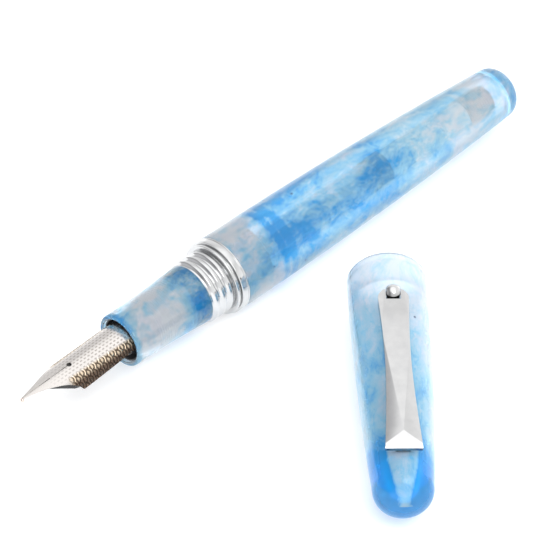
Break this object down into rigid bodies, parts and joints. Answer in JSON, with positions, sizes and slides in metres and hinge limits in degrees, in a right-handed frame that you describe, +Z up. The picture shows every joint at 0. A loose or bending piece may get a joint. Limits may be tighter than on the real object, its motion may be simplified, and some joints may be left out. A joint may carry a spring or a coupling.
{
  "type": "fountain pen",
  "caption": "Screw-cap fountain pen in translucent marbled blue resin, uncapped, with steel nib and rings, piston converter, and its cap with roller clip beside it.",
  "frame": {"origin": "on the pen's axis, at the middle crest of the cap thread", "axes": "+X along the pen from the nib to the barrel's end, -X the way the cap leaves, +Z up from the surface the pen and cap lie on; the nib's face is up"},
  "size_m": [0.1315, 0.0779, 0.019],
  "materials": {
    "marbled_resin": "polished, translucent, marbled pale and deep blue",
    "polished_steel": "mirror polished",
    "turned_steel": "turned",
    "nib_steel": "polished, with an engraved scale pattern",
    "black_plastic": "fine satin",
    "clear_plastic": "clear, moulded",
    "frosted_liner": "frosted, translucent",
    "converter_sleeve": "satin",
    "spindle_brass": "turned",
    "seal_rubber": "matt"
  },
  "bodies": {
    "pen_front": {"grip_section": "marbled_resin", "thread_ring": "polished_steel", "trim_ring": "polished_steel", "barrel_tenon": "turned_steel", "tenon_o_ring": "seal_rubber", "converter_tank": "clear_plastic", "converter_collar": "black_plastic", "converter_sleeve": "converter_sleeve"},
    "nib_collar": {"nib_housing": "black_plastic"},
    "nib_unit": {"nib": "nib_steel", "nib_tip": "nib_steel", "feed": "black_plastic"},
    "barrel_sleeve": {"barrel_insert": "turned_steel"},
    "barrel": {"barrel": "marbled_resin"},
    "knob": {"converter_knob": "black_plastic", "drive_spindle": "spindle_brass"},
    "piston": {"piston_rod": "black_plastic", "piston_seal": "seal_rubber"},
    "cap_liner": {"inner_cap": "frosted_liner"},
    "cap": {"cap_tube": "marbled_resin", "clip_anchor": "turned_steel", "clip_pivot_pin": "turned_steel"},
    "clip": {"clip": "polished_steel", "roller_pin": "turned_steel"},
    "roller": {"clip_roller": "polished_steel"}
  },
  "joints": [
    {"name": "nib_unit_out", "type": "slide", "parent": "pen_front", "child": "nib_collar", "axis": [-1, 0, 0], "range_m": [0, 0.004]},
    {"name": "nib_unit_turn", "type": "hinge", "parent": "nib_collar", "child": "nib_unit", "pos_m": [-0.02, 0, 0], "axis": [-1, 0, 0], "range_deg": [0, 1801]},
    {"name": "barrel_pull", "type": "slide", "parent": "pen_front", "child": "barrel_sleeve", "axis": [1, 0, 0], "range_m": [0, 0.08]},
    {"name": "barrel_turn", "type": "hinge", "parent": "barrel_sleeve", "child": "barrel", "pos_m": [0.02, 0, 0], "axis": [1, 0, 0], "range_deg": [0, 1800]},
    {"name": "knob_turn", "type": "hinge", "parent": "pen_front", "child": "knob", "pos_m": [0.075, 0, 0], "axis": [-1, 0, 0], "range_deg": [0, 3121]},
    {"name": "piston_draw", "type": "slide", "parent": "pen_front", "child": "piston", "axis": [1, 0, 0], "range_m": [0, 0.026]},
    {"name": "cap_draw", "type": "slide", "parent": "pen_front", "child": "cap_liner", "axis": [-0.6782, -0.7349, 0], "range_m": [0, 0.05]},
    {"name": "cap_roll", "type": "hinge", "parent": "cap_liner", "child": "cap", "pos_m": [0.00596, -0.04585, 0], "axis": [-0.6782, -0.7349, 0], "range_deg": [-120, 120]},
    {"name": "clip_lift", "type": "hinge", "parent": "cap", "child": "clip", "pos_m": [-0.00782, -0.06103, 0.00684], "axis": [0.7347, -0.6779, -0.0262], "range_deg": [0, 6], "stiffness_Nm_per_rad": 0.05, "springref_deg": -5.73},
    {"name": "roller_spin", "type": "hinge", "parent": "clip", "child": "roller", "pos_m": [0.01733, -0.03389, 0.00946], "axis": [0.7347, -0.6779, -0.0262], "continuous": true}
  ],
  "couplings": [
    {"joint": "nib_unit_turn", "follows": "nib_unit_out", "rad_per_m": 7854},
    {"joint": "knob_turn", "follows": "piston_draw", "rad_per_m": 2094.4}
  ]
}
